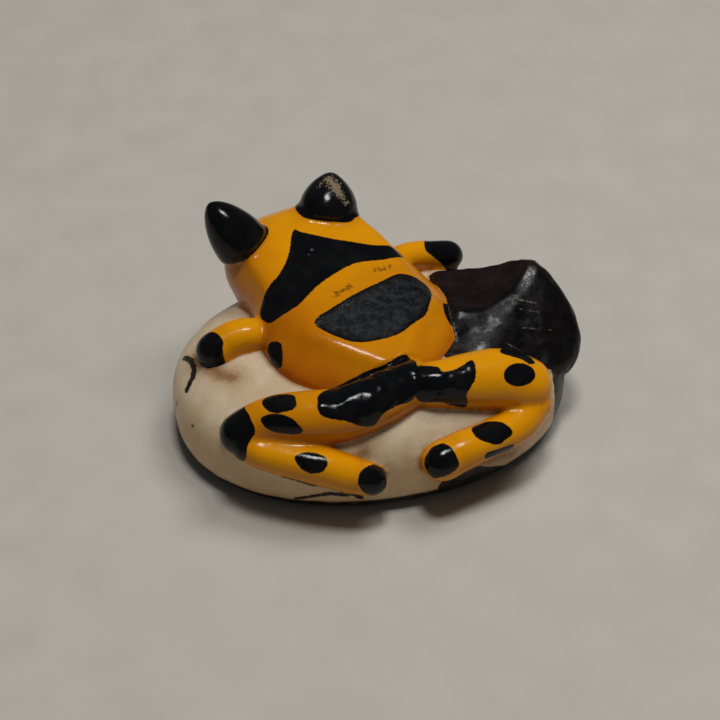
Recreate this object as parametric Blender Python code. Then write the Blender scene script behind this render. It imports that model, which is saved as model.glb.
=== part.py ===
"""Small carved frog resting on a polished seed, with a black block of husk beside it.

Units are metres, +Z is up, and the origin is the middle of the flat underside.
+X runs along the seed's long axis, towards the husk block.  The frog looks
mostly along +Y.  Every carved form is a closed solid, parted from its
neighbours by PARTING_GAP along the grooves that separate them.
"""

import math

import bmesh
import bpy
from mathutils import Matrix, Vector

MM = 0.001
PARTING_GAP = 0.3 * MM

# ---------------------------------------------------------------- the seed
SEED_HALF_LENGTH = 28.4 * MM
SEED_HALF_WIDTH = 20.1 * MM
SEED_WAIST_HEIGHT = 6.0 * MM        # height of the widest outline
SEED_DOME_RISE = 9.0 * MM           # dome above the waist
SEED_UNDER_DROP = 9.2 * MM          # depth the lower curve would reach if not cut flat
SEED_ROUNDNESS = 3.1                # exponent of the superellipse profile, seen from the side
SEED_SQUARENESS = 2.15              # exponent of the outline, seen from above
SEED_HUSK_END = 0.968               # length of the half under the husk, as a share of the other half
SEED_LOW_RING = 4.0 * MM
SEED_RING_SHARES = (0.2, 0.4, 0.57, 0.7, 0.81, 0.9, 0.96, 0.99)     # rings of the dome, by its rise
COAT_THICKNESS = 2.2 * MM
COAT_FOOT_RADIUS = 0.8 * MM         # rounding of the coat's bottom edge
COAT_FOOT_ANGLES = (0.0, 30.0, 60.0, 90.0)
SEED_SEGMENTS = 56

# ---------------------------------------------------------------- the frog's own axes
FROG_CENTRE = Vector((-1.2 * MM, -2.4 * MM, 0.0))
FROG_HEADING = math.radians(19.5)   # turned from +Y towards -X
FORWARD = Vector((-math.sin(FROG_HEADING), math.cos(FROG_HEADING), 0.0))
RIGHT = Vector((math.cos(FROG_HEADING), math.sin(FROG_HEADING), 0.0))

# Cross-sections of head and body, from rump to snout, in millimetres:
# forward, sideways, top height, flat half width, greatest half width, its height, lowest height
BODY_SECTIONS = (
    (-8.8, 1.0, 16.5, 0.6, 3.8, 13.2, 11.4),
    (-7.4, 1.1, 17.3, 1.4, 7.6, 13.4, 10.4),
    (-4.5, 1.2, 18.4, 3.6, 11.2, 14.0, 9.8),
    (0.0, 1.0, 19.4, 7.2, 13.5, 14.8, 9.6),
    (5.0, 0.7, 20.3, 8.8, 13.7, 15.4, 9.6),
    (9.5, 0.9, 20.9, 9.6, 12.9, 15.8, 9.8),
    (14.5, 1.0, 21.7, 9.4, 11.4, 16.4, 10.2),
    (20.0, 0.4, 22.4, 8.6, 10.8, 17.2, 11.4),
    (23.4, 0.1, 22.3, 7.2, 9.9, 17.6, 12.8),
    (25.8, 0.0, 21.2, 5.0, 7.8, 17.6, 13.8),
    (27.4, 0.0, 19.8, 2.6, 4.8, 17.6, 15.2),
)
SNOUT_TIP = (28.3, 17.6)
RUMP_TIP = (-9.6, 13.9)
BODY_CROWN = 0.06                   # fall of the back's flat from its middle to its edge, per width
# Half outline of a section, from the middle of the back round to the middle of the belly.
# Each point is across from flat to half width, and down from the back's edge to the widest
# height, or from there to the lowest height, both as shares.
BACK_MIDDLE = 0.55                  # share of the flat where its crown has fallen by a quarter
CROWN_QUARTER = 0.25
SHOULDER = (0.5, 0.36)
FLANK = (0.94, 0.80)
WIDEST_DROP = 0.6
BELLY = (0.93, 0.75)
BELLY_FLAT = 0.6
BODY_SEGMENTS = 28
BODY_RINGS = 21

# Eyes: forward, right, height of the base centre, base radius, length (millimetres)
EYE_RISE = Vector((0.60, 0.50, 1.0))    # forward, outward, up
LEFT_EYE = (21.4, -7.4, 21.0, 3.95, 8.3)
RIGHT_EYE = (21.5, 6.3, 20.6, 4.5, 6.6)
EYE_BULGE = 2.0                         # exponent of the bullet-shaped profile
EYE_TIP_ROUNDING = 0.66                 # 0.5 is a round tip, 1.0 a pointed one
EYE_RING_SHARES = (0.0, 0.12, 0.26, 0.4, 0.54, 0.67, 0.79, 0.89, 0.96)
EYE_TIP_SHARE = 1.01

# Limbs: centre line x, y, z and radius at each station, in millimetres
LEFT_FORELEG = ((-13.2, 1.9, 14.0, 1.7), (-16.4, 2.6, 15.4, 2.4), (-19.4, 2.8, 14.9, 2.7))
LEFT_FOREFOOT_END = (-22.0, 2.1, 14.0, 2.7)
RIGHT_FORELEG = ((3.5, 12.0, 16.0, 2.3), (7.2, 14.1, 15.9, 2.1), (10.7, 15.2, 15.2, 2.1))
RIGHT_FOREFOOT_END = (14.6, 15.5, 14.2, 2.2)
LEFT_THIGH = (
    (3.0, -11.6, 15.6, 3.2), (-2.4, -13.9, 15.4, 3.5), (-7.6, -14.7, 14.7, 3.6),
    (-13.0, -13.8, 14.3, 3.5), (-17.0, -12.6, 13.4, 3.2), (-20.9, -12.5, 11.7, 2.9),
)
LEFT_SHIN = (
    (-20.3, -13.8, 11.0, 2.5), (-18.0, -15.6, 10.4, 2.4), (-14.6, -17.4, 10.2, 2.5),
    (-10.6, -19.0, 9.6, 2.7), (-7.4, -20.2, 8.5, 2.5),
)
LEFT_HIND_FOOT_END = (-4.8, -20.9, 7.7, 2.2)
RIGHT_THIGH = (
    (2.0, -11.8, 15.8, 3.0), (6.0, -12.9, 16.0, 3.1), (10.5, -12.6, 15.4, 3.8),
    (14.6, -12.2, 14.6, 4.2), (18.4, -12.4, 12.9, 4.0),
)
RIGHT_SHIN = (
    (19.2, -13.6, 10.8, 3.1), (16.6, -16.6, 9.9, 2.7), (12.2, -18.6, 9.8, 2.5),
    (8.2, -19.7, 9.4, 2.7),
)
RIGHT_HIND_FOOT_END = (5.0, -20.5, 8.8, 2.8)
FOOT_START = 0.22           # where each foot parts from its leg, along the last stretch
LIMB_SEGMENTS = 18
LIMB_STEPS = 4              # rings between two stations
CAP_ANGLES = (25.0, 50.0, 72.0)
TANGENT_SPAN = 0.15         # half the stretch over which a limb's direction is measured

# Corners of the husk block, in millimetres
HUSK_CORNERS = (
    (10.8, 11.6, 15.2), (24.9, 5.2, 20.9), (24.5, 2.9, 20.1), (12.1, 1.2, 17.2),
    (9.5, -2.0, 15.0), (12.0, -8.4, 13.8), (24.0, -9.2, 11.4), (26.6, 2.8, 18.6),
    (29.1, -0.6, 15.0), (29.6, -3.6, 12.2), (28.8, -5.6, 9.6), (29.2, 4.0, 8.0),
    (25.0, 11.0, 8.0), (12.0, 15.6, 9.0), (12.0, -9.0, 6.4), (24.8, -7.8, 7.0),
)
HUSK_EDGE_RADIUS = 0.9 * MM
# A shallow saddle pared across the top, between the frog and the peak
HUSK_SCOOP_CENTRE = Vector((13.3, 1.7, 31.1)) * MM
HUSK_SCOOP_RADIUS = 14.3 * MM
HUSK_SCOOP_LENGTH = 60.0 * MM
HUSK_SCOOP_TILT = math.radians(7.5)     # the saddle falls away from the front
HUSK_SCOOP_SIDES = 96
HUSK_EDGE_STEPS = 2
HUSK_FLAT_ANGLE = math.radians(4)       # facets nearer than this to one plane are one face
SMOOTH_ANGLE = math.radians(40)         # edges sharper than this are shaded as edges


# ---------------------------------------------------------------- helpers
def clear_scene():
    for existing in list(bpy.data.objects):
        bpy.data.objects.remove(existing, do_unlink=True)


def paint(name, colour, roughness, metallic=0.0):
    material = bpy.data.materials.new(name)
    material.use_nodes = True
    shader = material.node_tree.nodes["Principled BSDF"]
    shader.inputs["Base Color"].default_value = (*colour, 1.0)
    shader.inputs["Roughness"].default_value = roughness
    shader.inputs["Metallic"].default_value = metallic
    return material


def blend(values, position):
    """Catmull-Rom value at a fractional index into a list of numbers or vectors."""
    last = len(values) - 1
    index = min(int(position), last - 1)
    t = position - index
    p1, p2 = values[index], values[index + 1]
    p0 = values[index - 1] if index > 0 else p1 + (p1 - p2)
    p3 = values[index + 2] if index + 2 <= last else p2 + (p2 - p1)
    return 0.5 * (
        2 * p1 + (p2 - p0) * t + (2 * p0 - 5 * p1 + 4 * p2 - p3) * t * t
        + (3 * p1 - p0 - 3 * p2 + p3) * t * t * t
    )


def loft(name, rings, start=None, end=None):
    """Skin a list of equal rings; each end closes on a tip point, or flat when none is given."""
    mesh = bmesh.new()
    rows = [[mesh.verts.new(point) for point in ring] for ring in rings]
    count = len(rings[0])
    for lower, upper in zip(rows, rows[1:]):
        for i in range(count):
            j = (i + 1) % count
            mesh.faces.new((lower[i], lower[j], upper[j], upper[i]))
    for row, tip, order in ((rows[0], start, -1), (rows[-1], end, 1)):
        if tip is None:
            mesh.faces.new(row[::order])
            continue
        apex = mesh.verts.new(tip)
        for i in range(count):
            pair = (row[i], row[(i + 1) % count])
            mesh.faces.new((*pair[::order], apex))
    bmesh.ops.recalc_face_normals(mesh, faces=mesh.faces)
    return finish(name, mesh)


def finish(name, mesh):
    data = bpy.data.meshes.new(name)
    mesh.to_mesh(data)
    mesh.free()
    data.shade_smooth()
    data.set_sharp_from_angle(angle=SMOOTH_ANGLE)
    piece = bpy.data.objects.new(name, data)
    bpy.context.scene.collection.objects.link(piece)
    return piece


def as_cutter(piece):
    piece.hide_render = True
    piece.display_type = "WIRE"
    return piece


def trim(piece, cutters):
    for cutter in cutters:
        cut = piece.modifiers.new("clear_" + cutter.name, "BOOLEAN")
        cut.operation = "DIFFERENCE"
        cut.solver = "EXACT"
        cut.object = cutter


# ---------------------------------------------------------------- seed and coat
def squared(share):
    return math.copysign(abs(share) ** (2.0 / SEED_SQUARENESS), share)


def seed_ring(height, grow=0.0, inset=0.0):
    """Outline of the seed at one height: an ellipse scaled by the superellipse profile."""
    above = height - SEED_WAIST_HEIGHT
    reach = (SEED_DOME_RISE if above > 0 else SEED_UNDER_DROP) + grow
    share = min(abs(above) / reach, 1.0)
    scale = (1.0 - share ** SEED_ROUNDNESS) ** (1.0 / SEED_ROUNDNESS)
    ring = []
    for i in range(SEED_SEGMENTS):
        angle = 2 * math.pi * i / SEED_SEGMENTS
        end = SEED_HUSK_END if math.cos(angle) > 0 else 1.0
        ring.append(Vector((
            ((SEED_HALF_LENGTH * end + grow) * scale - inset) * squared(math.cos(angle)),
            ((SEED_HALF_WIDTH + grow) * scale - inset) * squared(math.sin(angle)),
            height,
        )))
    return ring


def seed_solid(name, grow=0.0):
    """The pale kernel: its lower face lies just above the coat."""
    floor = COAT_THICKNESS + PARTING_GAP - grow
    rise = SEED_DOME_RISE + grow
    heights = [floor, SEED_LOW_RING, SEED_WAIST_HEIGHT]
    heights += [SEED_WAIST_HEIGHT + rise * share for share in SEED_RING_SHARES]
    top = Vector((0.0, 0.0, SEED_WAIST_HEIGHT + rise))
    return loft(name, [seed_ring(height, grow) for height in heights], end=top)


def coat_solid(name):
    """The dark seed coat left on the underside, with the flat face it rests on."""
    rings = []
    for degrees in COAT_FOOT_ANGLES:
        angle = math.radians(degrees)
        height = COAT_FOOT_RADIUS * (1 - math.cos(angle))
        inset = COAT_FOOT_RADIUS * (1 - math.sin(angle))
        rings.append(seed_ring(height, inset=inset))
    rings.append(seed_ring(COAT_THICKNESS))
    return loft(name, rings)


# ---------------------------------------------------------------- head and body
def frog_point(forward, right, height):
    """A place given in millimetres along the frog's own axes."""
    place = FROG_CENTRE + FORWARD * (forward * MM) + RIGHT * (right * MM)
    return Vector((place.x, place.y, height * MM))


def body_ring(section, grow):
    """One closed section of the body, in metres, grown by grow."""
    forward, sideways, top, flat, half, half_height, low = section * MM
    edge = top - BODY_CROWN * flat
    side = [
        (0.0, top + grow),
        (flat * BACK_MIDDLE, top - BODY_CROWN * flat * CROWN_QUARTER + grow),
        (flat, edge + grow),
        (
            flat + (half - flat) * SHOULDER[0] + grow,
            edge + (half_height - edge) * SHOULDER[1] + grow * CROWN_QUARTER,
        ),
        (flat + (half - flat) * FLANK[0] + grow, edge + (half_height - edge) * FLANK[1]),
        (half + grow, half_height - WIDEST_DROP * MM),
        (half * BELLY[0] + grow, half_height + (low - half_height) * BELLY[1]),
        (half * BELLY_FLAT, low - grow),
        (0.0, low - grow),
    ]
    outline = side + [(-across, height) for across, height in side[-2:0:-1]]
    outline = [Vector(point) for point in outline]
    closed = outline[-1:] + outline + outline[:2]
    ring = []
    for i in range(BODY_SEGMENTS):
        across, height = blend(closed, 1 + len(outline) * i / BODY_SEGMENTS)
        place = FROG_CENTRE + FORWARD * forward + RIGHT * (sideways + across)
        ring.append(Vector((place.x, place.y, height)))
    return ring


def body_solid(name, grow=0.0):
    sections = [Vector(section) for section in BODY_SECTIONS]
    rings = []
    for step in range(BODY_RINGS + 1):
        section = blend(sections, (len(sections) - 1) * step / BODY_RINGS)
        rings.append(body_ring(section, grow))
    rump = frog_point(RUMP_TIP[0] - grow / MM, 0.0, RUMP_TIP[1])
    snout = frog_point(SNOUT_TIP[0] + grow / MM, 0.0, SNOUT_TIP[1])
    return loft(name, rings, start=rump, end=snout)


def eye_solid(name, eye, side, grow=0.0):
    """A bullet-shaped cone with its foot sunk into the head."""
    forward, right, height, radius, length = eye
    foot = frog_point(forward, right, height)
    axis = FORWARD * EYE_RISE.x + RIGHT * (EYE_RISE.y * side) + Vector((0, 0, EYE_RISE.z))
    axis.normalize()
    across = axis.cross(Vector((0, 0, 1))).normalized()
    along = axis.cross(across)
    length = length * MM + grow
    rings = []
    for share in EYE_RING_SHARES:
        size = (radius * MM) * (1 - share ** EYE_BULGE) ** EYE_TIP_ROUNDING + grow
        centre = foot + axis * (length * share)
        rings.append([
            centre + (across * math.cos(angle) + along * math.sin(angle)) * size
            for angle in (2 * math.pi * i / LIMB_SEGMENTS for i in range(LIMB_SEGMENTS))
        ])
    return loft(name, rings, end=foot + axis * (length * EYE_TIP_SHARE))


# ---------------------------------------------------------------- limbs
def limb_solid(name, stations, first=0.0, last=None, grow=0.0, round_start=True, round_end=True):
    """A round limb along a smooth centre line, from one fractional station to another."""
    stations = [Vector(station) * MM for station in stations]
    last = len(stations) - 1 if last is None else last
    steps = max(2, round((last - first) * LIMB_STEPS))
    samples = [blend(stations, first + (last - first) * i / steps) for i in range(steps + 1)]
    points = [sample.to_3d() for sample in samples]
    radii = [sample[3] + grow for sample in samples]
    tangents = []
    for i in range(steps + 1):
        position = first + (last - first) * i / steps
        ahead = blend(stations, min(position + TANGENT_SPAN, len(stations) - 1))
        behind = blend(stations, max(position - TANGENT_SPAN, 0.0))
        tangents.append((ahead - behind).to_3d().normalized())

    def ring(centre, tangent, radius):
        across = tangent.cross(Vector((0, 0, 1))).normalized()
        upward = across.cross(tangent)
        return [
            centre + (across * math.cos(angle) + upward * math.sin(angle)) * radius
            for angle in (2 * math.pi * i / LIMB_SEGMENTS for i in range(LIMB_SEGMENTS))
        ]

    rings = [ring(*place) for place in zip(points, tangents, radii)]
    start = end = None
    if round_start:
        start = points[0] - tangents[0] * radii[0]
        for degrees in CAP_ANGLES:
            angle = math.radians(degrees)
            centre = points[0] - tangents[0] * (radii[0] * math.sin(angle))
            rings.insert(0, ring(centre, tangents[0], radii[0] * math.cos(angle)))
    if round_end:
        end = points[-1] + tangents[-1] * radii[-1]
        for degrees in CAP_ANGLES:
            angle = math.radians(degrees)
            centre = points[-1] + tangents[-1] * (radii[-1] * math.sin(angle))
            rings.append(ring(centre, tangents[-1], radii[-1] * math.cos(angle)))
    return loft(name, rings, start=start, end=end)


def leg_and_foot(leg_name, foot_name, leg, foot_end):
    """A limb whose foot parts from it square to the centre line, one gap apart."""
    stations = (*leg, foot_end)
    stretch = (Vector(foot_end[:3]) - Vector(leg[-1][:3])).length * MM
    part = len(leg) - 1 + FOOT_START
    leg_piece = limb_solid(leg_name, stations, last=part, round_end=False)
    foot_piece = limb_solid(foot_name, stations, first=part + PARTING_GAP / stretch, round_start=False)
    return leg_piece, foot_piece


# ---------------------------------------------------------------- husk
def husk_solid(name):
    mesh = bmesh.new()
    for corner in HUSK_CORNERS:
        mesh.verts.new(Vector(corner) * MM)
    hull = bmesh.ops.convex_hull(mesh, input=mesh.verts)
    bmesh.ops.delete(mesh, geom=hull["geom_interior"] + hull["geom_unused"], context="VERTS")
    bmesh.ops.dissolve_limit(mesh, angle_limit=HUSK_FLAT_ANGLE, verts=mesh.verts, edges=mesh.edges)
    bmesh.ops.bevel(
        mesh, geom=mesh.edges, offset=HUSK_EDGE_RADIUS, segments=HUSK_EDGE_STEPS,
        profile=0.5, affect="EDGES",
    )
    bmesh.ops.recalc_face_normals(mesh, faces=mesh.faces)
    return finish(name, mesh)


def scoop_solid(name):
    mesh = bmesh.new()
    lie_along_y = Matrix.Rotation(math.pi / 2 - HUSK_SCOOP_TILT, 4, "X")
    bmesh.ops.create_cone(
        mesh, cap_ends=True, segments=HUSK_SCOOP_SIDES, radius1=HUSK_SCOOP_RADIUS, radius2=HUSK_SCOOP_RADIUS,
        depth=HUSK_SCOOP_LENGTH, matrix=Matrix.Translation(HUSK_SCOOP_CENTRE) @ lie_along_y,
    )
    return finish(name, mesh)


# ---------------------------------------------------------------- assembly
def build():
    clear_scene()
    ivory = paint("ivory_kernel", (0.62, 0.47, 0.31), 0.35)
    skin = paint("seed_skin", (0.045, 0.030, 0.022), 0.5)
    orange = paint("orange_enamel", (0.72, 0.27, 0.012), 0.22)
    yellow = paint("yellow_enamel", (0.80, 0.36, 0.010), 0.22)
    black = paint("black_enamel", (0.012, 0.011, 0.012), 0.22)

    seed = seed_solid("nut_base")
    coat = coat_solid("seed_coat")
    body = body_solid("frog_body")
    husk = husk_solid("husk_block")
    left_eye = eye_solid("left_eye", LEFT_EYE, -1)
    right_eye = eye_solid("right_eye", RIGHT_EYE, 1)
    left_foreleg, left_forefoot = leg_and_foot(
        "left_foreleg", "left_forefoot", LEFT_FORELEG, LEFT_FOREFOOT_END)
    right_foreleg, right_forefoot = leg_and_foot(
        "right_foreleg", "right_forefoot", RIGHT_FORELEG, RIGHT_FOREFOOT_END)
    left_thigh = limb_solid("left_thigh", LEFT_THIGH)
    right_thigh = limb_solid("right_thigh", RIGHT_THIGH)
    left_shin, left_hind_foot = leg_and_foot(
        "left_shin", "left_hind_foot", LEFT_SHIN, LEFT_HIND_FOOT_END)
    right_shin, right_hind_foot = leg_and_foot(
        "right_shin", "right_hind_foot", RIGHT_SHIN, RIGHT_HIND_FOOT_END)

    seed_space = as_cutter(seed_solid("seed_space", PARTING_GAP))
    body_space = as_cutter(body_solid("body_space", PARTING_GAP))
    left_thigh_space = as_cutter(limb_solid("left_thigh_space", LEFT_THIGH, grow=PARTING_GAP))
    right_thigh_space = as_cutter(limb_solid("right_thigh_space", RIGHT_THIGH, grow=PARTING_GAP))
    right_shin_space = as_cutter(
        limb_solid("right_shin_space", (*RIGHT_SHIN, RIGHT_HIND_FOOT_END), grow=PARTING_GAP))
    right_foreleg_space = as_cutter(
        limb_solid("right_foreleg_space", (*RIGHT_FORELEG, RIGHT_FOREFOOT_END), grow=PARTING_GAP))

    trim(body, [seed_space])
    for eye in (left_eye, right_eye):
        trim(eye, [body_space])
    for limb in (left_foreleg, left_forefoot, right_foreleg, right_forefoot):
        trim(limb, [seed_space, body_space])
    trim(left_thigh, [seed_space, body_space])
    trim(right_thigh, [seed_space, body_space, left_thigh_space])
    trim(left_shin, [seed_space, left_thigh_space])
    trim(left_hind_foot, [seed_space])
    trim(right_shin, [seed_space, right_thigh_space])
    trim(right_hind_foot, [seed_space])
    husk_scoop = as_cutter(scoop_solid("husk_scoop"))
    trim(husk, [
        husk_scoop, seed_space, body_space, right_thigh_space, right_shin_space, right_foreleg_space,
    ])

    finishes = (
        (ivory, (seed,)),
        (skin, (coat,)),
        (orange, (body,)),
        (yellow, (left_foreleg, right_foreleg, left_thigh, right_thigh, left_shin, right_shin)),
        (black, (husk, left_eye, right_eye, left_forefoot, right_forefoot,
                 left_hind_foot, right_hind_foot)),
    )
    for finish_material, pieces in finishes:
        for piece in pieces:
            piece.data.materials.append(finish_material)


build()
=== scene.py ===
"""Looks of the carved frog: one smooth carved surface, parted into the CAD's pieces, and its paint."""
import math

import bmesh
import bpy
import numpy as np
from mathutils import Matrix, Vector, noise
from mathutils.bvhtree import BVHTree


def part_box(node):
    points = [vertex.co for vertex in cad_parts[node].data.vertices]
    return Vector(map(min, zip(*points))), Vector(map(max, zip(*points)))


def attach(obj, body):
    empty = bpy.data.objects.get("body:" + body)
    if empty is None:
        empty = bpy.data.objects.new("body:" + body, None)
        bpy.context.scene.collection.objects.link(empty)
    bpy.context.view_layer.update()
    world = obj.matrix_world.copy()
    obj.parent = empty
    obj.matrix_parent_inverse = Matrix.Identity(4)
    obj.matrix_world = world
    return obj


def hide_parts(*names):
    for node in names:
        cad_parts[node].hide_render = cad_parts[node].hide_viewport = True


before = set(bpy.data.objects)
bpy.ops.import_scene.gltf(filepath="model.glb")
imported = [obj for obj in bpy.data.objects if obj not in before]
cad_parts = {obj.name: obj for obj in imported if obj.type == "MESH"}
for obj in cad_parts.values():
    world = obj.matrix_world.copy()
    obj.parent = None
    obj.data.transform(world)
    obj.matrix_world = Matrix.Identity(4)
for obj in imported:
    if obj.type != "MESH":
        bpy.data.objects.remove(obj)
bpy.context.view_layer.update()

MM = 0.001

# ---------------------------------------------------------------- the CAD's pieces
EYES = ("left_eye", "right_eye")
FORELEGS = ("left_foreleg", "right_foreleg", "left_forefoot", "right_forefoot")
HIND_LEGS = (
    "left_thigh", "right_thigh", "left_shin", "right_shin", "left_hind_foot", "right_hind_foot",
)
FROG_NODES = ("frog_body",) + EYES + FORELEGS + HIND_LEGS
ALL_NODES = FROG_NODES + ("nut_base", "seed_coat", "husk_block")
SLOTS = {
    "frog_body": "orange_paint",
    "left_foreleg": "yellow_paint", "right_foreleg": "yellow_paint",
    "left_thigh": "yellow_paint", "right_thigh": "yellow_paint",
    "left_shin": "yellow_paint", "right_shin": "yellow_paint",
    "left_eye": "black_paint", "right_eye": "black_paint",
    "left_forefoot": "black_paint", "right_forefoot": "black_paint",
    "left_hind_foot": "black_paint", "right_hind_foot": "black_paint",
    "nut_base": "kernel", "seed_coat": "seed_skin", "husk_block": "husk",
}

# The frog's own axes, as in the CAD
FROG_CENTRE = np.array((-1.2, -2.4, 0.0))
FROG_HEADING = math.radians(19.5)
FORWARD = np.array((-math.sin(FROG_HEADING), math.cos(FROG_HEADING), 0.0))
RIGHT = np.array((math.cos(FROG_HEADING), math.sin(FROG_HEADING), 0.0))

# The carved surface
CLOSING = 0.20 * MM          # growth that closes the parting gaps before the surface is skinned
PARING = 0.16 * MM           # taken off again afterwards
VOXEL = 0.25 * MM
FINE_ROUNDS = 8              # fairing in the grooves and on the husk
MIDDLE_ROUNDS = 30           # fairing of limbs and eyes
BROAD_ROUNDS = 110           # fairing of the body and the seed
SEAM_ROUNDS = 40             # smoothing where the eyes run into the head
REACH = 5.0                  # mm, furthest distance that is told apart

# Tool marks in mm; the ridges run across the back in frog's right and forward millimetres
BACK_RIDGES = (
    ((-7.8, 2.3), (-4.8, -2.0), (-2.3, -5.6), (0.3, -8.3)),
    ((10.7, 0.3), (7.2, -2.0), (2.0, -6.4), (0.3, -8.3)),
)
RIDGE_HEIGHT = 0.42
RIDGE_WIDTH = 1.5
HIP_LUMPS = 0.25
HUSK_LUMPS = 0.22
CARVING_RELIEF = 0.07
EYE_RIM = 0.30               # mm that the black runs out past an eye's own edge

# Camera, light and floor
AIM = Vector((-1.615, 1.059, 9.4)) * MM
CAMERA_TURN = math.radians(-12.0)
CAMERA_ELEVATION = math.radians(42.0)
CAMERA_DISTANCE = 0.283
LENS = 100.0
SENSOR = 36.0
LIGHT_DISTANCE = 0.6
WORLD_STRENGTH = 0.07
FLOOR_HEIGHT = -0.05 * MM

# Paint
SPECULAR_LEVEL = 0.26
BUMP_DEPTH = 0.07 * MM


# ---------------------------------------------------------------- carved surface
def node_tree_of(name):
    """A search tree over one CAD node, and its box, all in millimetres."""
    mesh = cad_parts[name].data
    points = [vertex.co / MM for vertex in mesh.vertices]
    faces = [tuple(face.vertices) for face in mesh.polygons]
    low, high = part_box(name)
    return BVHTree.FromPolygons(points, faces), np.array(low) / MM, np.array(high) / MM


def grown_copy(name):
    """A CAD node's faces with welded corners, grown along their normals."""
    shape = bmesh.new()
    shape.from_mesh(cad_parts[name].data)
    bmesh.ops.remove_doubles(shape, verts=shape.verts, dist=0.001 * MM)
    bmesh.ops.recalc_face_normals(shape, faces=shape.faces)
    shape.normal_update()
    for vertex in shape.verts:
        vertex.co += vertex.normal * CLOSING
    return shape


def skinned_carving():
    """All CAD nodes grown until they touch, skinned as one surface."""
    joined = bmesh.new()
    for name in ALL_NODES:
        shape = grown_copy(name)
        part = bpy.data.meshes.new("part")
        shape.to_mesh(part)
        shape.free()
        joined.from_mesh(part)
        bpy.data.meshes.remove(part)
    data = bpy.data.meshes.new("carving")
    joined.to_mesh(data)
    joined.free()
    carving = bpy.data.objects.new("carving", data)
    bpy.context.scene.collection.objects.link(carving)
    skin = carving.modifiers.new("skin", "REMESH")
    skin.mode = "VOXEL"
    skin.voxel_size = VOXEL
    skin.adaptivity = 0.0
    depsgraph = bpy.context.evaluated_depsgraph_get()
    skinned = bpy.data.meshes.new_from_object(carving.evaluated_get(depsgraph))
    bpy.data.objects.remove(carving)
    return skinned


def read_points(mesh):
    points = np.empty(len(mesh.vertices) * 3)
    mesh.vertices.foreach_get("co", points)
    return points.reshape(-1, 3) / MM


def read_normals(mesh):
    normals = np.empty(len(mesh.vertices) * 3)
    mesh.vertices.foreach_get("normal", normals)
    return normals.reshape(-1, 3)


def write_points(mesh, points):
    mesh.vertices.foreach_set("co", (points * MM).astype(np.float32).ravel())
    mesh.update()


class Neighbours:
    """Averages over each vertex's neighbours along the mesh's edges."""

    def __init__(self, mesh):
        edges = np.empty(len(mesh.edges) * 2, dtype=np.int64)
        mesh.edges.foreach_get("vertices", edges)
        edges = edges.reshape(-1, 2)
        self.ends = np.concatenate([edges[:, 0], edges[:, 1]])
        self.others = np.concatenate([edges[:, 1], edges[:, 0]])
        self.size = len(mesh.vertices)
        self.count = np.maximum(np.bincount(self.ends, minlength=self.size), 1)

    def mean(self, values):
        columns = values.reshape(self.size, -1)
        total = [np.bincount(self.ends, column[self.others], self.size) for column in columns.T]
        return (np.stack(total, 1) / self.count[:, None]).reshape(values.shape)

    def smooth(self, values, rounds):
        for _ in range(rounds):
            values = 0.5 * (values + self.mean(values))
        return values

    def fair(self, values, rounds):
        """Smooth without shrinking: what the first pass loses is smoothed and given back."""
        once = self.smooth(values, rounds)
        return 2 * once - self.smooth(once, rounds)


def distances_to(tree_and_box, points):
    """Distance in mm from each point to one CAD node, up to REACH."""
    tree, low, high = tree_and_box
    distances = np.full(len(points), REACH)
    near = np.all((points > low - REACH) & (points < high + REACH), axis=1)
    for index in np.flatnonzero(near):
        found = tree.find_nearest(points[index], REACH)
        if found[0] is not None:
            distances[index] = found[3]
    return distances


def soft_step(values, start, end):
    share = np.clip((values - start) / (end - start), 0.0, 1.0)
    return share * share * (3 - 2 * share)


class Carving:
    """The faired surface, with each point's distance to every CAD node."""

    def __init__(self):
        self.mesh = skinned_carving()
        self.neighbours = Neighbours(self.mesh)
        rough = self.neighbours.fair(read_points(self.mesh), FINE_ROUNDS)
        write_points(self.mesh, rough)
        rough = rough - read_normals(self.mesh) * (PARING / MM)
        self.distance = {name: distances_to(node_tree_of(name), rough) for name in ALL_NODES}
        self.points = rough
        self.move(self.faired(rough) - rough)

    def move(self, offsets):
        self.points = self.points + offsets
        write_points(self.mesh, self.points)
        self.normals = read_normals(self.mesh)

    def nearest(self, names):
        return np.min([self.distance[name] for name in names], axis=0)

    def inside(self, names):
        """Signed distance in mm to the edge of a group of nodes, positive on the group."""
        others = [name for name in ALL_NODES if name not in names]
        return self.nearest(others) - self.nearest(names)

    def groove(self):
        """Distance in mm to the nearest other form."""
        return np.sort(np.stack(list(self.distance.values())), axis=0)[1]

    def crease(self):
        """Distance in mm to the nearest crease; the eyes blend into the head without one."""
        forms = [self.nearest(("frog_body",) + EYES)]
        forms += [self.distance[name] for name in ALL_NODES if name not in ("frog_body",) + EYES]
        return np.sort(np.stack(forms), axis=0)[1]

    def faired(self, rough):
        middle = self.neighbours.fair(rough, MIDDLE_ROUNDS)
        broad = self.neighbours.fair(rough, BROAD_ROUNDS)
        clear = self.crease()
        on_husk = soft_step(self.inside(("husk_block",)), -0.5, 0.5)
        on_large = soft_step(self.inside(("frog_body", "nut_base", "seed_coat")), 0.0, 0.8)
        away = soft_step(clear, 0.3, 1.5) * (1 - on_husk)
        off_eyes = soft_step(self.nearest(EYES), 0.3, 2.0)
        far = soft_step(clear, 0.9, 2.4) * (1 - on_husk) * on_large * off_eyes
        away = self.neighbours.smooth(away, 6)[:, None]
        far = self.neighbours.smooth(far, 10)[:, None]
        points = rough + (middle - rough) * away
        points = points + (broad - points) * far
        eye_seam = np.maximum(self.nearest(EYES), self.distance["frog_body"])
        blended = self.neighbours.smooth(soft_step(eye_seam, 1.5, 0.4), 4)[:, None]
        return points + (self.neighbours.smooth(points, SEAM_ROUNDS) - points) * blended


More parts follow.
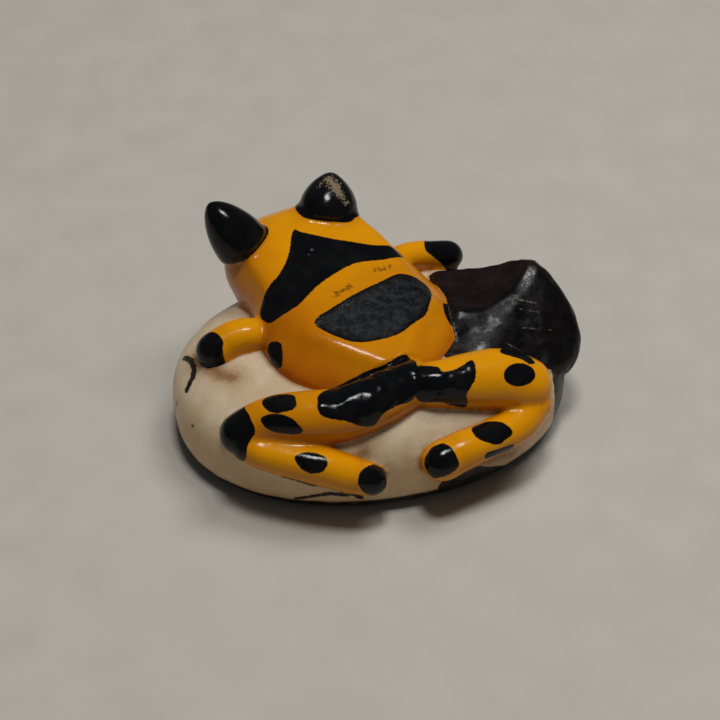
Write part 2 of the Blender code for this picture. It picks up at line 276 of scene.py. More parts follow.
# ---------------------------------------------------------------- sculpting
def distance_to_path(across, along, path):
    """Distance in mm from points to an open path on the plane."""
    distance = np.full(len(across), np.inf)
    for (x1, y1), (x2, y2) in zip(path, path[1:]):
        dx, dy = x2 - x1, y2 - y1
        share = np.clip(((across - x1) * dx + (along - y1) * dy) / (dx * dx + dy * dy), 0.0, 1.0)
        distance = np.minimum(distance, np.hypot(across - x1 - share * dx, along - y1 - share * dy))
    return distance


def waves(points, size, seed):
    """Smooth noise from -1 to 1 whose features are about size millimetres across."""
    shift = Vector((seed * 17.3, seed * 5.1, seed * 9.7))
    return np.array([noise.noise(Vector(point) / size + shift) for point in points])


def sculpt(carving):
    """Creases and tool marks that the fairing would have taken away, in mm along the normals."""
    points = carving.points
    offset = points - FROG_CENTRE
    right, forward = offset @ RIGHT, offset @ FORWARD
    on_body = soft_step(carving.inside(("frog_body",)), 0.2, 1.2)
    upward = soft_step(carving.normals[:, 2], 0.3, 0.6)
    ridge = np.min([distance_to_path(right, forward, path) for path in BACK_RIDGES], axis=0)
    lift = RIDGE_HEIGHT * np.exp(-(ridge / RIDGE_WIDTH) ** 2) * on_body * upward
    on_husk = soft_step(carving.inside(("husk_block",)), 0.0, 0.8)
    on_hip = soft_step(np.maximum(*(patch_field(carving, **patch) for patch in HIP_PATCHES)), -0.2, 0.6)
    lift += HIP_LUMPS * on_hip * (np.abs(waves(points, 2.8, 1)) + 0.5 * waves(points, 1.3, 4) - 0.3)
    lift += HUSK_LUMPS * on_husk * (waves(points, 4.2, 2) + 0.4 * waves(points, 1.6, 5))
    lift += CARVING_RELIEF * (1 - on_husk) * waves(points, 3.2, 3)
    carving.move(carving.normals * lift[:, None])


# ---------------------------------------------------------------- parting
def boundary_loops(faces):
    """Closed rings of corner numbers along a set of faces' open edges, in the faces' direction."""
    directed = set()
    for face in faces:
        for a, b in zip(face, face[1:] + face[:1]):
            directed.add((a, b))
    follows = {}
    for a, b in sorted(directed):
        if (b, a) not in directed:
            follows.setdefault(a, []).append(b)
    loops = []
    while follows:
        start = next(iter(follows))
        ring = [start]
        while True:
            ahead = follows[ring[-1]]
            step = ahead.pop()
            if not ahead:
                del follows[ring[-1]]
            if step == start:
                break
            ring.append(step)
        loops.append(ring)
    return loops


def part_off(name, faces, carving, fields):
    """One closed piece of the carving: its own faces, with a hidden cap across each open ring."""
    used = sorted({corner for face in faces for corner in face})
    renumber = {old: new for new, old in enumerate(used)}
    own = [[renumber[corner] for corner in face] for face in faces]
    caps = [ring[::-1] for ring in boundary_loops(own) if len(ring) > 2]
    data = bpy.data.meshes.new(name)
    data.from_pydata((carving.points[used] * MM).tolist(), [], own + caps)
    shape = bmesh.new()
    shape.from_mesh(data)
    shape.faces.ensure_lookup_table()
    wide = [shape.faces[i] for i in range(len(own), len(shape.faces))]
    bmesh.ops.triangulate(shape, faces=wide)
    shape.to_mesh(data)
    shape.free()
    data.update()
    for field, values in fields.items():
        attribute = data.attributes.new(field, "FLOAT", "POINT")
        attribute.data.foreach_set("value", values[used].astype(np.float32))
    smooth = np.zeros(len(data.polygons), bool)
    smooth[:len(own)] = True
    data.polygons.foreach_set("use_smooth", smooth)
    corners = np.empty(len(data.loops), dtype=np.int64)
    data.loops.foreach_get("vertex_index", corners)
    corner_normals = carving.normals[used][corners]
    corner_normals[sum(len(face) for face in own):] = 0.0
    data.normals_split_custom_set(corner_normals.tolist())
    piece = bpy.data.objects.new(name, data)
    bpy.context.scene.collection.objects.link(piece)
    return piece


def labelled_faces(carving):
    """Each CAD node's own faces of the carving."""
    names = list(ALL_NODES)
    distances = np.stack([carving.neighbours.smooth(carving.distance[name], 3) for name in names], 1)
    corners = np.empty(len(carving.mesh.loops), dtype=np.int64)
    carving.mesh.loops.foreach_get("vertex_index", corners)
    quads = corners.reshape(-1, 4)
    owner = distances[quads].mean(axis=1).argmin(axis=1)
    return {name: quads[owner == i].tolist() for i, name in enumerate(names)}


# ---------------------------------------------------------------- paint fields
def signed_to_outline(across, along, outline):
    """Distance in mm from points to a closed outline, positive inside it."""
    distance = np.full(len(across), np.inf)
    inside = np.zeros(len(across), bool)
    for (x1, y1), (x2, y2) in zip(outline, outline[1:] + outline[:1]):
        dx, dy = x2 - x1, y2 - y1
        share = np.clip(((across - x1) * dx + (along - y1) * dy) / (dx * dx + dy * dy), 0.0, 1.0)
        distance = np.minimum(distance, np.hypot(across - x1 - share * dx, along - y1 - share * dy))
        crosses = (y1 > along) != (y2 > along)
        if dy != 0:
            inside ^= crosses & (across < x1 + (along - y1) * dx / dy)
    return np.where(inside, distance, -distance)


def curve_through(points, steps=6):
    """A closed smooth curve through the given points."""
    count = len(points)
    curve = []
    for i in range(count):
        p0, p1, p2, p3 = (np.array(points[(i + k - 1) % count]) for k in range(4))
        for step in range(steps):
            t = step / steps
            curve.append(tuple(0.5 * (
                2 * p1 + (p2 - p0) * t + (2 * p0 - 5 * p1 + 4 * p2 - p3) * t * t
                + (3 * p1 - p0 - 3 * p2 + p3) * t * t * t
            )))
    return curve


def patch_field(carving, centre, facing, outline, depth):
    """Signed field of one painted patch: a smooth outline on a plane, pressed onto the surface."""
    facing = np.array(facing, float)
    facing /= np.linalg.norm(facing)
    across = np.cross(FORWARD, facing)
    across /= np.linalg.norm(across)
    along = np.cross(facing, across)
    offset = carving.points - np.array(centre)
    u, v, w = offset @ across, offset @ along, offset @ facing
    curve = curve_through(outline)
    reach = max(math.hypot(*point) for point in curve) + 2.0
    field = np.full(len(u), -2.0)
    near = (np.hypot(u, v) < reach) & (np.abs(w) < depth)
    field[near] = signed_to_outline(u[near], v[near], curve)
    return field


def oval(half_length, half_width, turn=0.0, steps=20):
    """Outline of an oval in mm, its long axis turned from the across axis by degrees."""
    turn = math.radians(turn)
    outline = []
    for i in range(steps):
        angle = 2 * math.pi * i / steps
        x, y = half_length * math.cos(angle), half_width * math.sin(angle)
        outline.append((
            x * math.cos(turn) - y * math.sin(turn),
            x * math.sin(turn) + y * math.cos(turn),
        ))
    return tuple(outline)


# Painted black areas in mm: a centre, the way each faces, and an outline on the plane there
HIP_PATCHES = (
    {"centre": (-4.2, -15.9, 18.3), "facing": (0.0, -0.67, 0.74), "depth": 10.0, "outline": (
        (-6.5, 2.0), (-5.6, 3.4), (-4.5, 3.9), (-1.1, 3.4), (2.8, 2.9), (5.0, 2.3), (8.4, 1.9), (8.4, -0.4),
        (5.5, -3.6), (2.6, -3.2), (0.5, -3.1), (-1.4, -3.6), (-3.0, -2.6), (-4.1, -1.2), (-6.0, 0.6),
    )},
    {"centre": (6.3, -15.2, 18.2), "facing": (0.0, -0.66, 0.75), "depth": 10.0, "outline": (
        (-3.6, 3.0), (-1.7, 3.9), (0.6, 2.3), (0.9, 1.2), (2.9, 0.5), (5.2, 0.3), (4.0, -1.9), (2.0, -3.0),
        (1.2, -4.4), (-1.5, -2.0), (-3.9, 0.0),
    )},
)
HEAD_PATCH = {"centre": (-4.6, 10.4, 21.5), "facing": (0.0, 0.0, 1.0), "depth": 7.0, "outline": (
    (-1.6, 6.3), (-0.6, 5.4), (2.6, 2.4), (7.2, -1.1), (9.9, -2.0), (10.6, -4.0), (7.4, -4.2), (3.0, -3.1),
    (-1.1, -3.7), (-4.5, -4.6), (-8.1, -6.1), (-10.9, -5.9), (-12.2, -4.6), (-11.7, -1.9), (-7.4, 0.1),
    (-4.4, 2.7),
)}
BACK_PATCH = {"centre": (0.4, -0.2, 19.7), "facing": (0.0, 0.0, 1.0), "depth": 6.0, "outline": (
    (-8.9, 0.9), (-8.2, 2.3), (-5.6, 2.8), (-1.3, 3.5), (4.0, 4.1), (6.6, 4.3), (9.5, 2.7), (9.4, 0.4),
    (6.1, -3.4), (3.3, -4.6), (0.1, -5.2), (-5.0, -4.2), (-7.3, -2.2),
)}
KNEE_PATCHES = (
    {"centre": (-21.5, -14.2, 14.0), "facing": (-0.56, -0.6, 0.58), "depth": 6.0, "outline": (
        (2.4, 1.9), (2.4, -0.1), (1.4, -1.9), (-0.4, -2.1), (-2.8, -2.9), (-4.2, -1.4), (-4.4, 1.3),
        (-3.4, 4.4), (-0.4, 4.8), (1.4, 3.4),
    )},
    {"centre": (13.5, 14.1, 16.3), "facing": (0.33, -0.66, 0.68), "depth": 5.0, "outline": (
        (-2.6, 0.8), (-2.3, 1.7), (-1.0, 2.6), (1.0, 2.8), (3.0, 1.8), (4.2, -0.6), (3.2, -3.0), (0.9, -3.9),
        (0.2, -2.6), (-0.7, -1.4), (-1.8, -0.3),
    )},
)
SPOTS = (
    {"centre": (-14.3, -2.9, 16.3), "facing": (-0.74, -0.34, 0.59), "depth": 2.0, "outline": (
        (1.2, 1.4), (1.6, 0.4), (0.8, -0.9), (-0.6, -2.0), (-1.4, -1.2), (-1.3, 0.4), (-0.5, 1.7), (0.5, 2.0),
    )},
    {"centre": (11.4, 0.1, 16.4), "facing": (0.5, -0.1, 0.86), "depth": 2.0, "outline": oval(2.3, 1.15, 92)},
    {"centre": (-22.9, 0.4, 15.8), "facing": (-0.38, -0.42, 0.82), "depth": 4.0, "outline": (
        (-1.8, 1.5), (-0.3, 2.9), (1.2, 2.7), (2.2, 1.5), (2.2, -0.2), (0.9, -1.5), (-0.5, -2.9), (-1.9, -2.3),
        (-2.6, -0.4),
    )},
    {"centre": (-15.6, -13.7, 17.2), "facing": (-0.31, -0.07, 0.95), "depth": 2.0, "outline": (
        (-1.7, 2.2), (-0.4, 2.8), (1.0, 1.8), (2.2, 0.1), (1.7, -1.6), (0.8, -1.9), (-0.7, -1.1), (-1.8, 0.2),
    )},
    {"centre": (-15.7, -16.0, 15.8), "facing": (-0.42, -0.78, 0.47), "depth": 2.0, "outline": (
        (-1.3, 2.8), (0.0, 2.1), (1.1, 0.2), (1.2, -1.4), (0.6, -2.8), (-0.3, -2.4), (-1.3, -0.7), (-1.9, 1.2),
    )},
    {"centre": (-12.7, -20.2, 11.8), "facing": (-0.19, -0.66, 0.72), "depth": 2.0, "outline": (
        (-1.1, 2.1), (0.2, 1.8), (1.4, 0.6), (1.9, -0.6), (1.5, -1.5), (0.4, -1.8), (-0.9, -1.0), (-1.5, 0.5),
    )},
    {"centre": (-4.9, -22.5, 9.1), "facing": (-0.2, -0.75, 0.63), "depth": 3.0, "outline": oval(2.1, 1.9, 60)},
    {"centre": (16.7, -12.4, 18.3), "facing": (0.35, -0.13, 0.93), "depth": 3.0, "outline": (
        (-1.3, 1.4), (-0.3, 0.3), (1.0, -0.3), (2.2, -1.3), (3.4, -1.0), (3.0, 1.5), (0.6, 2.6),
    )},
    {"centre": (17.1, -14.7, 17.2), "facing": (0.32, -0.6, 0.74), "depth": 2.0, "outline": oval(2.5, 1.6, -8)},
    {"centre": (12.1, -19.9, 12.0), "facing": (0.12, -0.46, 0.88), "depth": 2.0, "outline": (
        (-1.8, 2.1), (0.3, 2.1), (1.7, 1.3), (2.6, 0.0), (2.7, -1.1), (1.6, -1.4), (-0.1, -1.5), (-2.2, 0.3),
    )},
    {"centre": (4.5, -22.3, 10.8), "facing": (-0.33, -0.63, 0.7), "depth": 4.0, "outline": (
        (-1.2, 2.0), (0.3, 2.3), (1.7, 1.6), (2.1, 0.4), (1.8, -0.9), (1.1, -2.0), (-0.3, -2.0), (-2.2, -1.1),
        (-2.6, -0.2), (-2.1, 1.3),
    )},
)
PATCHES = HIP_PATCHES + (HEAD_PATCH, BACK_PATCH) + KNEE_PATCHES + SPOTS

# Marks in mm: a route on the surface and its half width
SOOT_MARKS = (
    (((-16.0, -17.2, 7.3), (-14.3, -17.8, 7.0), (-12.1, -18.6, 6.2)), 0.55),
    (((-11.5, -18.7, 6.3), (-9.3, -19.2, 5.6), (-7.3, -19.6, 4.7), (-5.9, -19.6, 3.3)), 0.45),
    (((-14.4, -17.4, 2.7), (-12.3, -18.3, 3.6), (-10.0, -19.0, 4.4), (-7.7, -19.5, 3.9)), 0.35),
    ((
        (-26.0, 4.9, 11.0), (-25.3, 3.2, 11.9), (-25.1, 1.1, 12.2), (-25.5, -0.3, 11.9),
        (-26.6, -1.8, 11.0),
    ), 0.45),
    (((-28.0, -1.4, 8.8), (-28.4, -0.6, 5.6), (-28.2, -1.4, 4.0)), 0.22),
    (((-26.7, -6.8, 8.9),) * 2, 0.28),
    (((9.4, -5.0, 14.4), (11.4, -3.8, 15.0), (12.0, -6.9, 14.5), (13.3, -5.7, 14.7)), 1.9),
)
# Orange ink bleeds on the nut, and painted shadow where they lie under the left forefoot.
BLEEDS_AND_SHADOWS = (
    (((-22.9, -0.4, 13.0), (-21.9, -2.2, 13.3), (-20.4, -3.6, 13.6)), 0.5),
    (((-24.6, 3.2, 12.3), (-24.2, 1.0, 12.6)), 0.4),
    (((5.0, -19.8, 5.6), (8.0, -19.4, 5.8), (12.0, -18.4, 5.6), (16.0, -16.4, 4.6)), 0.35),
    (((-14.7, -18.1, 12.6),) * 2, 0.3),
    (((-9.3, -20.7, 11.6), (-8.0, -21.0, 11.2)), 0.3),
    (((-5.2, -18.7, 10.9), (-7.4, -19.0, 9.7)), 0.3),
)
SPECKS = (
    (((-6.3, 11.7, 21.8),) * 2, 0.2),
    (((-6.9, 10.8, 21.7),) * 2, 0.16),
    (((20.7, -0.5, 18.0), (23.2, -1.2, 17.4)), 0.09),
    (((20.6, -1.7, 17.3), (23.5, -2.2, 16.5)), 0.09),
    (((20.5, -3.9, 15.7), (24.5, -4.2, 14.8)), 0.09),
    (((15.4, -4.5, 15.7), (17.5, -5.5, 14.9), (19.6, -6.5, 13.9)), 0.09),
)
RUBBED = (
    (((-4.6, 3.0, 20.4), (-2.6, 4.1, 20.5)), 0.5),
    (((1.8, 6.9, 20.5), (3.9, 7.4, 20.4)), 0.4),
)
CHIPS = (
    (((-1.8, 21.5, 26.2), (-1.2, 20.3, 25.9), (-0.9, 19.3, 25.4)), 0.9),
    (((-0.9, 19.3, 25.4), (0.1, 18.2, 24.2)), 0.4),
    (((-3.2, 21.0, 25.9),) * 2, 0.35),
)
HUSK_CREST = ((12.2, 1.4, 16.8), (16.0, -0.4, 17.3), (20.7, 1.6, 18.8), (23.9, 2.6, 19.8))
BARE_FACET = ((4.8, 3.0), (5.8, 5.0), (8.0, 5.6), (10.5, 5.2), (15.0, 2.6), (14.5, 0.6), (6.0, 0.3))
LEG_MARK = (((11.2, -21.6, 9.7), (13.1, -20.9, 9.4), (14.6, -20.3, 9.3)), 0.62)
DARK_END = 23.6              # mm, where the seed's dark end starts behind the right knee


def mark_field(carving, path, half_width):
    """Signed field of a drawn mark: positive within half_width of a route through space."""
    points = carving.points
    distance = np.full(len(points), REACH)
    for start, end in zip(np.array(path), np.array(path[1:])):
        way = end - start
        length = max(way @ way, 1e-9)
        share = np.clip((points - start) @ way / length, 0.0, 1.0)
        distance = np.minimum(distance, np.linalg.norm(points - start - share[:, None] * way, axis=1))
    return half_width - distance


def marks_field(carving, marks):
    return np.maximum.reduce([mark_field(carving, path, half_width) for path, half_width in marks])


def black_field(carving):
    """Where the frog is painted black, and the hip's wrap among it."""
    black = carving.inside(EYES) + EYE_RIM
    for patch in PATCHES:
        black = np.maximum(black, patch_field(carving, **patch))
    return np.maximum(black, mark_field(carving, *LEG_MARK))


def soot_field(carving):
    """Dark ink and bare dark places on the nut."""
    x, y, z = carving.points.T
    facet = np.where(y < 0, signed_to_outline(x, z, BARE_FACET), -1.0)
    return np.maximum.reduce([marks_field(carving, SOOT_MARKS), np.clip(facet, -2, 2), x - DARK_END])


def warmth_and_shade_field(carving):
    """How far the orange turns from yellow towards a darker red: the head and legs yellower, and painted shade
    low down, on downward faces, in the hollows, on the frog's left side and on the left thigh.
    """
    offset = carving.points - FROG_CENTRE
    right, forward = offset @ RIGHT, offset @ FORWARD
    low = soft_step(carving.points[:, 2], 17.5, 13.0)
    limbs = carving.inside(FORELEGS + HIND_LEGS)
    on_body = soft_step(limbs, 0.6, -0.6)
    trunk = 0.10 + 0.22 * soft_step(forward, 13.0, 6.0)
    # Painted shade: darker and redder on the frog's left side and low down.
    trunk = trunk + 0.30 * soft_step(right, -2.0, -10.0) + 0.25 * low
    # Painted shade: the legs darker and redder where they face down.
    legs = 0.04 + 0.18 * soft_step(carving.normals[:, 2], 0.7, 0.0)
    # Painted shadow of the body across the left thigh.
    legs = legs + 0.26 * soft_step(carving.inside(("left_thigh",)), 0.0, 1.0)
    # Painted shade: darker and redder in the hollows beside other forms.
    return on_body * trunk + (1 - on_body) * legs + 0.30 * np.exp(-carving.groove() / 0.7)


def paint_fields(carving):
    """The values, in mm where they are distances, that the paint is mixed from."""
    keep = carving.neighbours.smooth
    x, y = carving.points[:, 0], carving.points[:, 1]
    crest = np.array(HUSK_CREST)
    return {
        "frog": keep(carving.inside(FROG_NODES), 2),
        "husk": keep(carving.inside(("husk_block",)), 2),
        "coat": keep(carving.inside(("seed_coat",)), 2),
        "black": black_field(carving),
        # The back patch, where dust and a painted sheen lie.
        "dust_and_sheen": patch_field(carving, **BACK_PATCH),
        "soot": soot_field(carving),
        "bleed_and_shadow": marks_field(carving, BLEEDS_AND_SHADOWS),
        "speck": marks_field(carving, SPECKS),
        "chip": marks_field(carving, CHIPS),
        "rubbed": marks_field(carving, RUBBED),
        "crest": mark_field(carving, HUSK_CREST, 0.0),
        "husk_top": y - np.interp(x, crest[:, 0], crest[:, 1]),
        "upward": keep(carving.normals[:, 2], 6),
        "groove": keep(carving.groove(), 4),
        "warmth_and_shade": keep(warmth_and_shade_field(carving), 20),
    }


# ---------------------------------------------------------------- shader building
class Graph:
    """Short calls for building one material's nodes."""

    def __init__(self, material):
        material.use_nodes = True
        self.tree = material.node_tree
        self.tree.nodes.clear()
        self.place = None

    def node(self, kind, inputs=None, **settings):
        made = self.tree.nodes.new(kind)
        for key, value in settings.items():
            setattr(made, key, value)
        for key, value in (inputs or {}).items():
            self.feed(made.inputs[key], value)
        return made

    def feed(self, socket, value):
        if isinstance(value, bpy.types.NodeSocket):
            self.tree.links.new(value, socket)
        elif isinstance(value, tuple) and len(value) == 3 and socket.type == "RGBA":
            socket.default_value = (*value, 1.0)
        else:
            socket.default_value = value

    def math(self, operation, a, b):
        return self.node("ShaderNodeMath", {0: a, 1: b}, operation=operation).outputs[0]

    def attribute(self, name):
        return self.node("ShaderNodeAttribute", attribute_name=name).outputs["Fac"]

    def position(self):
        """Place on the object in metres."""
        if self.place is None:
            self.place = self.node("ShaderNodeNewGeometry").outputs["Position"]
        return self.place

    def noise(self, size, detail=2.0, roughness=0.5, distortion=0.0):
        """Noise whose features are about size millimetres across, from 0 to 1."""
        made = self.node("ShaderNodeTexNoise", {
            "Vector": self.position(), "Scale": 1 / (size * MM), "Detail": detail,
            "Roughness": roughness, "Distortion": distortion,
        })
        return made.outputs["Fac"]

    def ragged(self, size):
        """Fine noise either side of zero, size millimetres in all, for uneven edges."""
        return self.math("MULTIPLY", self.math("SUBTRACT", self.noise(0.55, detail=3.0), 0.5), size)

    def step(self, value, start, end):
        """Smooth change from 0 at start to 1 at end."""
        made = self.node("ShaderNodeMapRange", {
            "Value": value, "From Min": start, "From Max": end, "To Min": 0.0, "To Max": 1.0,
        }, interpolation_type="SMOOTHSTEP")
        return made.outputs["Result"]

    def mix(self, share, a, b):
        made = self.node("ShaderNodeMix", data_type="RGBA")
        self.feed(made.inputs["Factor"], share)
        self.feed(made.inputs["A"], a)
        self.feed(made.inputs["B"], b)
        return made.outputs["Result"]

    def blend(self, share, a, b):
        made = self.node("ShaderNodeMix", data_type="FLOAT")
        self.feed(made.inputs["Factor"], share)
        self.feed(made.inputs["A"], a)
        self.feed(made.inputs["B"], b)
        return made.outputs["Result"]


def enamel_colour(graph):
    """Orange paint: yellow on top, with painted shade darkening it towards red low down and in the hollows,
    brushed unevenly.
    """
    brushed = graph.math("MULTIPLY", graph.math("SUBTRACT", graph.noise(2.2, detail=3.0), 0.5), 0.22)
    warmth_and_shade = graph.math("ADD", graph.attribute("warmth_and_shade"), brushed)
    # The ramp runs from yellow-orange to dark red-brown: painted shade where the field is high.
    ramp = graph.node("ShaderNodeValToRGB", {"Fac": warmth_and_shade})
    ramp.color_ramp.elements[0].position = 0.05
    ramp.color_ramp.elements[0].color = (0.78, 0.31, 0.001, 1.0)
    ramp.color_ramp.elements[1].position = 1.0
    ramp.color_ramp.elements[1].color = (0.30, 0.052, 0.001, 1.0)
    middle = ramp.color_ramp.elements.new(0.6)
    middle.color = (0.50, 0.148, 0.001, 1.0)
    grime = graph.step(graph.noise(0.9, detail=4.0, roughness=0.7), 0.68, 0.80)
    orange = graph.mix(graph.math("MULTIPLY", grime, 0.22), ramp.outputs["Color"], (0.20, 0.060, 0.004))
    rubbed = graph.step(graph.math("ADD", graph.attribute("rubbed"), graph.ragged(2.4)), -0.2, 0.5)
    return graph.mix(graph.math("MULTIPLY", rubbed, 0.7), orange, (0.11, 0.032, 0.004))


def ink_colour(graph):
    """Black paint, with dust and a painted grey sheen on the rubbed patch of the back and tan wood where it
    has chipped.
    """
    cloud = graph.step(graph.noise(2.5), 0.45, 0.75)
    black = graph.mix(cloud, (0.003, 0.003, 0.0035), (0.006, 0.006, 0.006))
    dust_and_sheen = graph.step(graph.attribute("dust_and_sheen"), 0.0, 1.2)
    # Painted sheen: a mottled grey film on the back patch, partly dust.
    mottle = graph.step(graph.noise(1.3, detail=6.0, roughness=0.85), 0.42, 0.62)
    sheen_and_dust_film = graph.math("MULTIPLY", dust_and_sheen, mottle)
    black = graph.mix(sheen_and_dust_film, black, (0.026, 0.027, 0.031))
    edge = graph.step(graph.attribute("dust_and_sheen"), 1.6, 0.1)
    dust = graph.math("MULTIPLY", graph.step(graph.noise(0.17, detail=1.0), 0.62, 0.68), edge)
    dust = graph.math("MULTIPLY", dust, graph.step(graph.attribute("dust_and_sheen"), -0.1, 0.1))
    dust = graph.math("MULTIPLY", dust, graph.step(graph.noise(4.0), 0.48, 0.62))
    return graph.mix(graph.math("MULTIPLY", dust, 0.6), black, (0.30, 0.27, 0.24))


def cream_colour(graph):
    """Ivory of the nut: paler on top and tanner on its sides as painted light and shade, clouded, with ink,
    bleeds, and painted shade in the grooves, around the bleeds and under the left forefoot.
    """
    cloud = graph.step(graph.noise(5.0, detail=4.0, roughness=0.6), 0.3, 0.7)
    # Painted light and shade: the top paler, the sides tanner and more saturated, by which way the surface
    # faces.
    top = graph.mix(cloud, (0.56, 0.42, 0.265), (0.66, 0.52, 0.355))
    side = graph.mix(cloud, (0.66, 0.44, 0.23), (0.74, 0.53, 0.31))
    cream = graph.mix(graph.step(graph.attribute("upward"), 0.0, 0.85), side, top)
    fibres = graph.noise(0.7, detail=5.0, roughness=0.7, distortion=0.6)
    fibres = graph.math("MULTIPLY", graph.step(fibres, 0.56, 0.72), 0.30)
    cream = graph.mix(fibres, cream, (0.32, 0.19, 0.09))
    # Painted shade: darker brown in the grooves beside other forms.
    crevice_shade = graph.step(graph.attribute("groove"), 0.9, 0.15)
    cream = graph.mix(graph.math("MULTIPLY", crevice_shade, 0.55), cream, (0.26, 0.11, 0.03))
    # Painted shade: a broad soft darkening around the bleeds, where the body shades the nut.
    shade_halo = graph.step(graph.attribute("bleed_and_shadow"), -3.2, 0.0)
    cream = graph.mix(graph.math("MULTIPLY", shade_halo, 0.42), cream, (0.36, 0.20, 0.08))
    # Ink bleeds, with painted shadow under the left forefoot.
    bleed_and_shadow = graph.math("ADD", graph.attribute("bleed_and_shadow"), graph.ragged(1.2))
    bleed_and_shadow = graph.math("MULTIPLY", graph.step(bleed_and_shadow, -1.2, 0.5), 0.75)
    return graph.mix(bleed_and_shadow, cream, (0.20, 0.075, 0.012))


def bark_colour(graph):
    """The husk's polished black-brown wood, with a painted grey reflection along its crest."""
    grain = graph.step(graph.noise(3.0, detail=4.0, roughness=0.65), 0.40, 0.72)
    front = graph.mix(grain, (0.0025, 0.0022, 0.0022), (0.006, 0.004, 0.004))
    top = graph.mix(grain, (0.007, 0.0035, 0.004), (0.018, 0.008, 0.008))
    bark = graph.mix(graph.step(graph.attribute("husk_top"), -0.2, 0.4), front, top)
    # Painted reflection: grey along the husk's crest.
    crest_reflection = graph.math("ADD", graph.attribute("crest"), graph.ragged(1.3))
    crest_reflection = graph.math("MULTIPLY", graph.step(crest_reflection, -0.10, 0.35), 0.2)
    return graph.mix(crest_reflection, bark, (0.060, 0.058, 0.062))


def painted_carving(name):
    """The whole paint scheme, mixed from the fields that the surface carries."""
    material = bpy.data.materials.new(name)
    graph = Graph(material)
    frog = graph.math("ADD", graph.attribute("frog"), graph.ragged(0.30))
    black = graph.math("ADD", graph.attribute("black"), graph.ragged(0.26))
    soot = graph.math("ADD", graph.attribute("soot"), graph.ragged(0.55))
    flaked = graph.math("SUBTRACT", graph.noise(0.32, detail=4.0, roughness=0.7), 0.54)
    chip = graph.math("ADD", graph.attribute("chip"), graph.math("MULTIPLY", flaked, 5.0))
    on_frog = graph.step(frog, -0.06, 0.06)
    on_black = graph.step(black, -0.07, 0.07)
    on_husk = graph.step(graph.attribute("husk"), -0.06, 0.06)
    on_coat = graph.step(graph.attribute("coat"), -0.12, 0.12)
    on_soot = graph.step(soot, -0.12, 0.12)
    on_chip = graph.step(chip, -0.08, 0.08)
    on_speck = graph.step(graph.math("ADD", graph.attribute("speck"), graph.ragged(0.3)), -0.05, 0.05)

    flecks = graph.step(graph.noise(1.2, detail=4.0), 0.4, 0.7)
    skin = graph.mix(flecks, (0.008, 0.007, 0.006), (0.035, 0.026, 0.020))
    nut = graph.mix(on_soot, graph.mix(on_coat, cream_colour(graph), skin), skin)
    ink = graph.mix(on_chip, ink_colour(graph), (0.22, 0.165, 0.105))
    colour = graph.mix(on_frog, nut, graph.mix(on_black, enamel_colour(graph), ink))
    colour = graph.mix(on_husk, colour, bark_colour(graph))
    colour = graph.mix(graph.math("MULTIPLY", on_speck, 0.4), colour, (0.30, 0.26, 0.24))

    grain = graph.math("MULTIPLY", graph.noise(0.30, detail=3.0), 0.07)
    smears = graph.step(graph.noise(1.8, detail=4.0, roughness=0.7), 0.45, 0.75)
    smears = graph.math("MULTIPLY", smears, 0.07)
    bare = graph.blend(on_coat, 0.34, 0.50)
    painted = graph.blend(on_black, 0.12, 0.09)
    dulled = graph.math("MULTIPLY", graph.step(graph.attribute("dust_and_sheen"), -0.3, 0.8), 0.30)
    roughness = graph.blend(on_frog, bare, graph.math("ADD", painted, dulled))
    roughness = graph.blend(on_chip, roughness, 0.7)
    polish = graph.step(graph.noise(2.4, detail=5.0, roughness=0.7), 0.42, 0.58)
    roughness = graph.blend(on_husk, roughness, graph.blend(polish, 0.20, 0.44))
    roughness = graph.math("ADD", graph.math("ADD", roughness, grain), smears)

    scrapes = graph.noise(0.9, detail=5.0, roughness=0.62)
    fine = graph.noise(0.14, detail=2.0)
    height = graph.math("ADD", graph.math("MULTIPLY", scrapes, 0.9), graph.math("MULTIPLY", fine, 0.16))
    height = graph.math("SUBTRACT", height, graph.math("MULTIPLY", on_chip, 0.8))
    bump = graph.node("ShaderNodeBump", {
        "Strength": 0.5, "Distance": BUMP_DEPTH, "Height": height,
    })
    shader = graph.node("ShaderNodeBsdfPrincipled", {
        "Base Color": colour, "Roughness": roughness, "Normal": bump.outputs["Normal"],
        "Specular IOR Level": SPECULAR_LEVEL,
    })
    output = graph.node("ShaderNodeOutputMaterial")
    graph.tree.links.new(shader.outputs["BSDF"], output.inputs["Surface"])
    return material


# ---------------------------------------------------------------- stage
def add_camera():
    data = bpy.data.cameras.new("camera")
    data.lens = LENS
    data.sensor_width = SENSOR
    data.clip_start = 0.01
    camera = bpy.data.objects.new("camera", data)
    tilt = Matrix.Rotation(math.pi / 2 - CAMERA_ELEVATION, 4, "X")
    turn = Matrix.Rotation(CAMERA_TURN, 4, "Z") @ tilt
    camera.matrix_world = Matrix.Translation(AIM) @ turn @ Matrix.Translation((0, 0, CAMERA_DISTANCE))
    bpy.context.scene.collection.objects.link(camera)
    bpy.context.scene.camera = camera


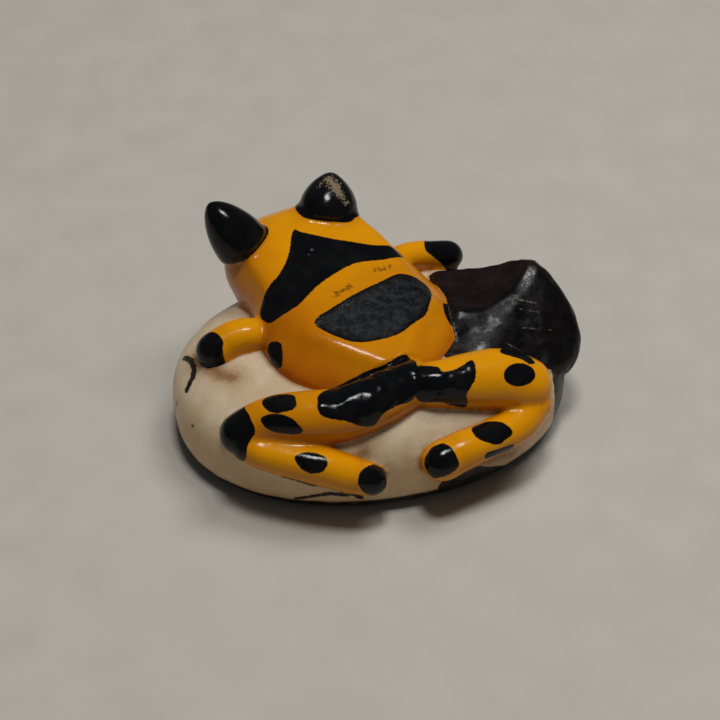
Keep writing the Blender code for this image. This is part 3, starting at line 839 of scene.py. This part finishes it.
def add_softbox(name, azimuth, elevation, size, power, in_reflections=True):
    data = bpy.data.lights.new(name, "AREA")
    data.shape = "RECTANGLE"
    data.size, data.size_y = size
    data.energy = power
    light = bpy.data.objects.new(name, data)
    tilt = Matrix.Rotation(math.radians(90 - elevation), 4, "X")
    turn = Matrix.Rotation(math.radians(azimuth), 4, "Z") @ tilt
    light.matrix_world = Matrix.Translation(AIM) @ turn @ Matrix.Translation((0, 0, LIGHT_DISTANCE))
    light.visible_glossy = in_reflections
    bpy.context.scene.collection.objects.link(light)


def add_floor():
    shape = bmesh.new()
    bmesh.ops.create_grid(shape, x_segments=1, y_segments=1, size=1.5)
    data = bpy.data.meshes.new("floor")
    shape.to_mesh(data)
    shape.free()
    floor = bpy.data.objects.new("floor", data)
    floor.location.z = FLOOR_HEIGHT
    material = bpy.data.materials.new("floor_paper")
    graph = Graph(material)
    cloud = graph.step(graph.noise(9.0, detail=3.0), 0.3, 0.7)
    tone = graph.mix(cloud, (0.52, 0.485, 0.425), (0.55, 0.515, 0.455))
    shader = graph.node("ShaderNodeBsdfPrincipled", {"Base Color": tone, "Roughness": 0.75})
    output = graph.node("ShaderNodeOutputMaterial")
    graph.tree.links.new(shader.outputs["BSDF"], output.inputs["Surface"])
    data.materials.append(material)
    bpy.context.scene.collection.objects.link(floor)


def add_world():
    world = bpy.data.worlds.new("studio")
    world.use_nodes = True
    background = world.node_tree.nodes["Background"]
    background.inputs["Color"].default_value = (0.9, 0.95, 1.0, 1.0)
    background.inputs["Strength"].default_value = WORLD_STRENGTH
    bpy.context.scene.world = world


# ---------------------------------------------------------------- assembly
def build():
    carving = Carving()
    sculpt(carving)
    fields = paint_fields(carving)
    materials = {slot: painted_carving(slot) for slot in sorted(set(SLOTS.values()))}
    for name, faces in labelled_faces(carving).items():
        piece = part_off(name + "_carved", faces, carving, fields)
        piece.data.materials.append(materials[SLOTS[name]])
        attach(piece, "root")
        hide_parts(name)
    bpy.data.meshes.remove(carving.mesh)
    add_camera()
    add_world()
    add_floor()
    add_softbox(
        "key", azimuth=110.0, elevation=68.0, size=(0.25, 0.25), power=1.35, in_reflections=False,
    )
    add_softbox("overhead", azimuth=0.0, elevation=86.0, size=(0.12, 0.12), power=1.45)
    bpy.context.scene.view_settings.view_transform = "Standard"


build()
